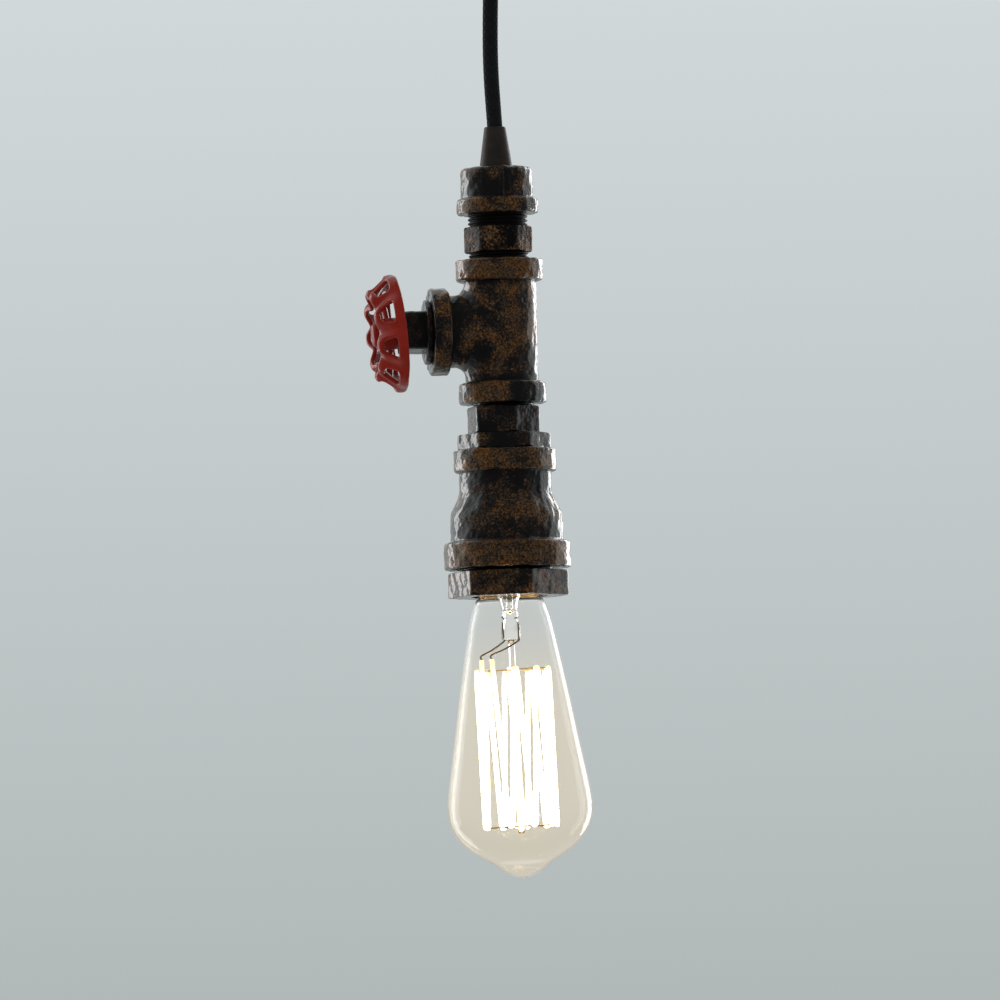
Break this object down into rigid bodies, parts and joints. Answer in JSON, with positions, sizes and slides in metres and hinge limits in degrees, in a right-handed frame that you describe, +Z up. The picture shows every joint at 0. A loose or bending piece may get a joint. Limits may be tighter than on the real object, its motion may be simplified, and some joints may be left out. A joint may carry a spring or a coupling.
{
  "type": "pendant light",
  "caption": "Hanging lamp of screwed iron pipe fittings with a red valve wheel on its side branch, a fabric cord, a ceiling rose and a tapered clear filament bulb.",
  "frame": {"origin": "middle of the ceiling face of the rose, between its two fixing slots", "axes": "+Z up towards the ceiling, the tee's side branch and valve wheel along -X, +Y away from the picture's viewer"},
  "size_m": [0.1124, 0.1, 0.4627],
  "materials": {
    "black_steel": "matt black paint",
    "steel": "zinc plated",
    "brass": "plain",
    "bronzed_brass": "dark bronze lacquer",
    "bronzed_iron": "black lacquer rubbed with copper bronze, gloss",
    "black_iron": "black lacquer, gloss",
    "red_iron": "red gloss paint",
    "porcelain": "white glazed porcelain, opaque",
    "black_glass": "black vitrite, opaque",
    "clear_glass": "clear",
    "cord_fabric": "black cotton braid",
    "brown_sleeve": "brown insulation",
    "blue_sleeve": "blue insulation",
    "earth_sleeve": "green and yellow insulation",
    "wire_metal": "nickel and molybdenum wire",
    "filament": "glowing coiled wire"
  },
  "bodies": {
    "ceiling_rose": {"rose_cup": "black_steel", "rose_strap": "steel", "rose_side_screws": "black_steel", "terminal_block": "porcelain", "terminal_screws": "brass", "block_screw": "steel", "rose_earth_screw": "brass", "rose_live_wire": "brown_sleeve", "rose_neutral_wire": "blue_sleeve", "rose_earth_wire": "earth_sleeve", "rose_grip": "bronzed_brass", "rose_grip_screw": "steel", "rose_grip_nut": "brass"},
    "pendant": {"cord": "cord_fabric", "cord_grip": "bronzed_brass", "cord_grip_screw": "steel", "cord_grip_nut": "brass", "pipe_cap": "bronzed_iron", "upper_nipple": "bronzed_iron", "tee": "bronzed_iron", "branch_plug": "black_iron", "earth_screw": "brass", "wheel_screw": "steel", "wheel_washer": "steel", "lower_nipple": "bronzed_iron", "reducing_bush": "bronzed_iron", "reducing_socket": "bronzed_iron", "lamp_bush": "bronzed_iron", "lampholder_body": "porcelain", "lampholder_shell": "brass", "lampholder_contact": "brass", "lampholder_screws": "brass", "live_wire": "brown_sleeve", "neutral_wire": "blue_sleeve", "earth_wire": "earth_sleeve"},
    "handwheel": {"handwheel": "red_iron"},
    "bulb_tip": {"bulb_contact": "steel", "bulb_insulator": "black_glass"},
    "bulb": {"bulb_cap": "brass", "bulb_glass": "clear_glass", "bulb_stem": "clear_glass", "bulb_rod": "clear_glass", "bulb_upper_hooks": "wire_metal", "bulb_lower_hooks": "wire_metal", "bulb_leads": "wire_metal", "bulb_filament": "filament"}
  },
  "joints": [
    {"name": "pendant_swing", "type": "hinge", "parent": "ceiling_rose", "child": "pendant", "pos_m": [0, 0, -0.048], "axis": [0, 1, 0], "range_deg": [-30, 30], "deforming": ["cord"]},
    {"name": "handwheel_turn", "type": "hinge", "parent": "pendant", "child": "handwheel", "pos_m": [-0.0453, 0, -0.2213], "axis": [-0.9962, 0, -0.0872], "continuous": true},
    {"name": "bulb_drop", "type": "slide", "parent": "pendant", "child": "bulb_tip", "axis": [0, 0, -1], "range_m": [0, 0.0198]},
    {"name": "bulb_turn", "type": "hinge", "parent": "bulb_tip", "child": "bulb", "pos_m": [0, 0, -0.338], "axis": [0, 0, -1], "range_deg": [0, 1980]}
  ],
  "couplings": [
    {"joint": "bulb_drop", "follows": "bulb_turn", "m_per_rad": 0.00057295}
  ]
}
